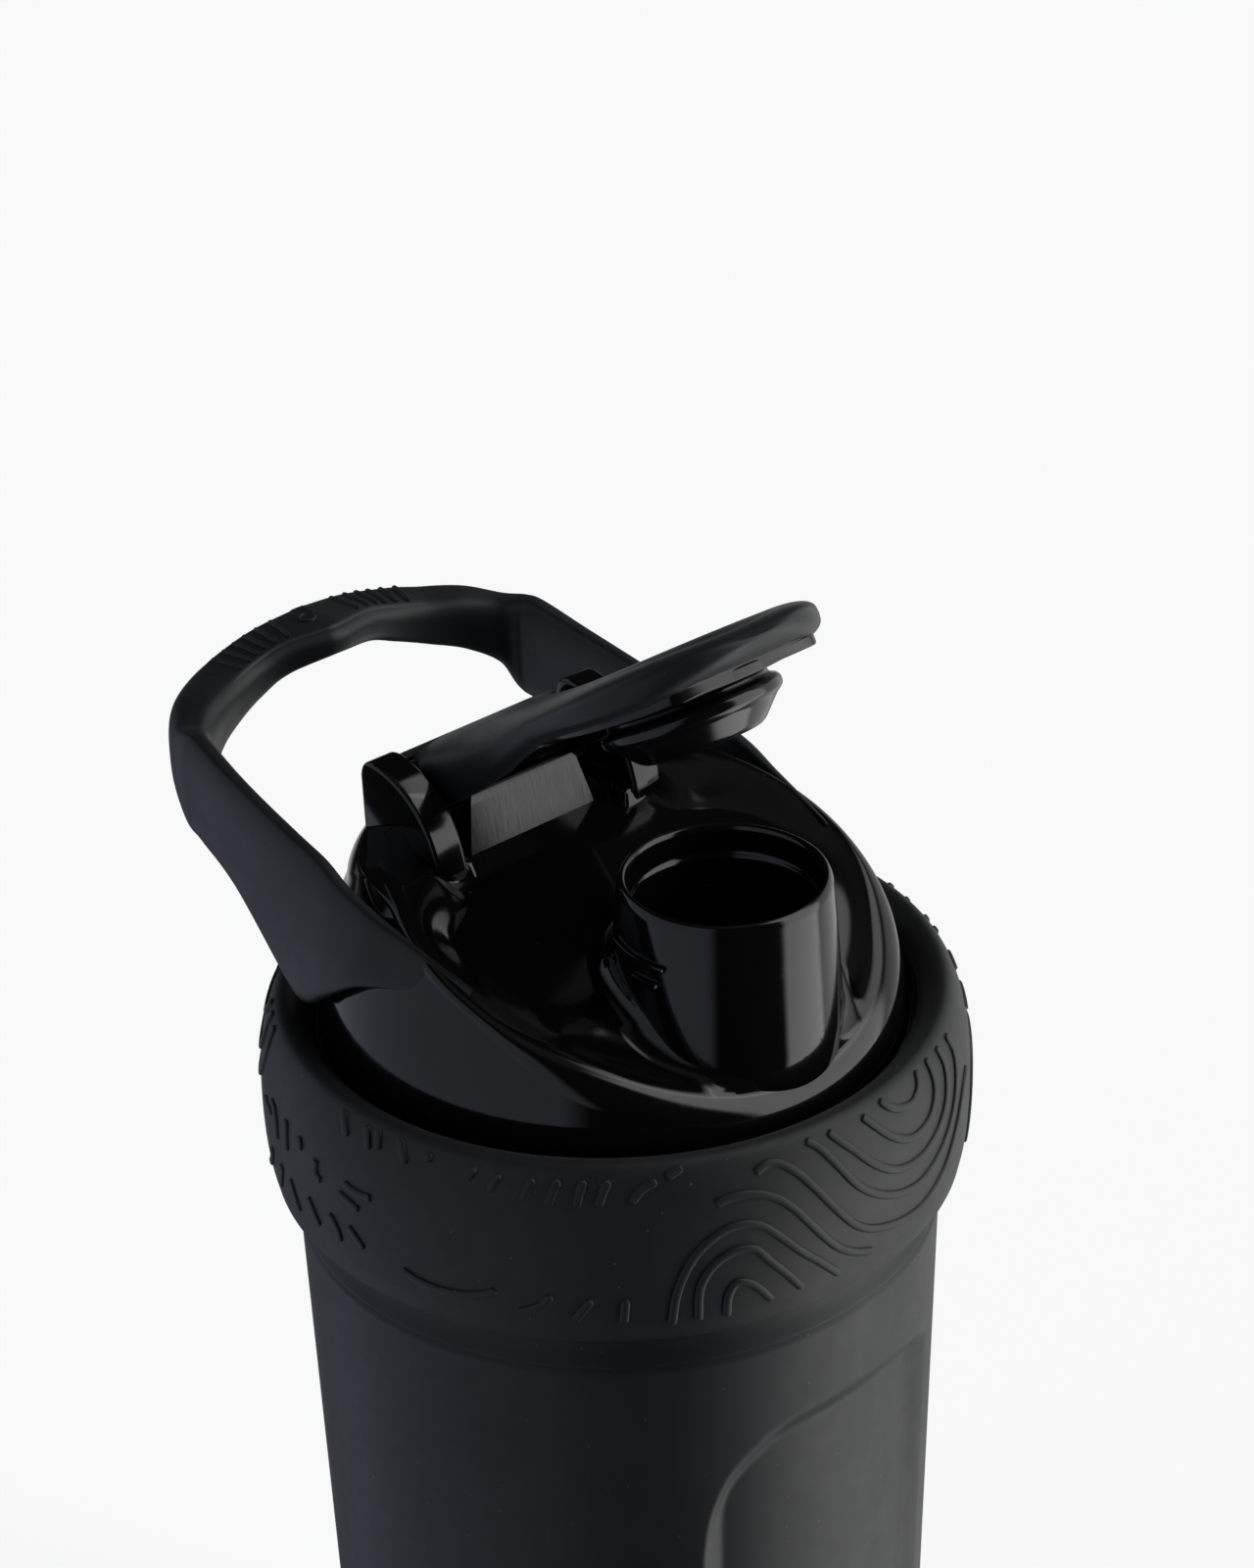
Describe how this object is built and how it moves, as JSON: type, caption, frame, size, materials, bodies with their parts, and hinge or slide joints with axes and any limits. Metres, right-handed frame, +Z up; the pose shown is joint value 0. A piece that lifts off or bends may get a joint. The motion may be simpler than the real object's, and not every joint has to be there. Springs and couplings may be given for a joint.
{
  "type": "shaker bottle",
  "caption": "Shaker bottle with a soft-grip screw collar, a drinking spout under a hinged flip cap, and a fixed carry loop on the lid.",
  "frame": {"origin": "middle of the base, on the bottle's axis, on the surface it stands on", "axes": "+Z up along the bottle's axis; -Y towards the spout at the front; +Y towards the hinge and the carry loop; +X to the object's own left when its front faces the viewer's right"},
  "size_m": [0.1, 0.1194, 0.2358],
  "materials": {
    "soft_touch_body": "soft-touch coated polypropylene, matte near-black with a faint blue cast",
    "silicone_pad": "matte silicone",
    "moulded_black": "plain moulded polypropylene, satin",
    "collar_rubber": "matte thermoplastic rubber with raised contour lines",
    "gloss_black": "polished black polypropylene with fine rub marks",
    "loop_soft_touch": "soft-touch coated, matte with a blue-grey sheen",
    "cap_soft_touch": "soft-touch coated, satin",
    "plug_seal": "glossy silicone seal"
  },
  "bodies": {
    "bottle": {"bottle_body": "soft_touch_body", "base_pad": "silicone_pad"},
    "lid": {"lid_shell": "gloss_black", "lid_gasket": "silicone_pad", "mixing_grid": "moulded_black", "carry_loop": "loop_soft_touch", "loop_pad": "loop_soft_touch"},
    "collar": {"collar_core": "moulded_black", "collar_grip": "collar_rubber"},
    "cap": {"flip_cap": "gloss_black", "cap_cover": "cap_soft_touch", "spout_plug": "plug_seal"}
  },
  "joints": [
    {"name": "lid_lift", "type": "slide", "parent": "bottle", "child": "lid", "axis": [0, 0, 1], "range_m": [0, 0.00505]},
    {"name": "collar_turn", "type": "hinge", "parent": "lid", "child": "collar", "pos_m": [0, 0, 0.155], "axis": [0, 0, 1], "range_deg": [0, 450]},
    {"name": "cap_hinge", "type": "hinge", "parent": "lid", "child": "cap", "pos_m": [0, 0.025, 0.196], "axis": [-1, 0, 0], "range_deg": [-30, 95]}
  ],
  "couplings": [
    {"joint": "lid_lift", "follows": "collar_turn", "m_per_rad": 0.00063662}
  ]
}
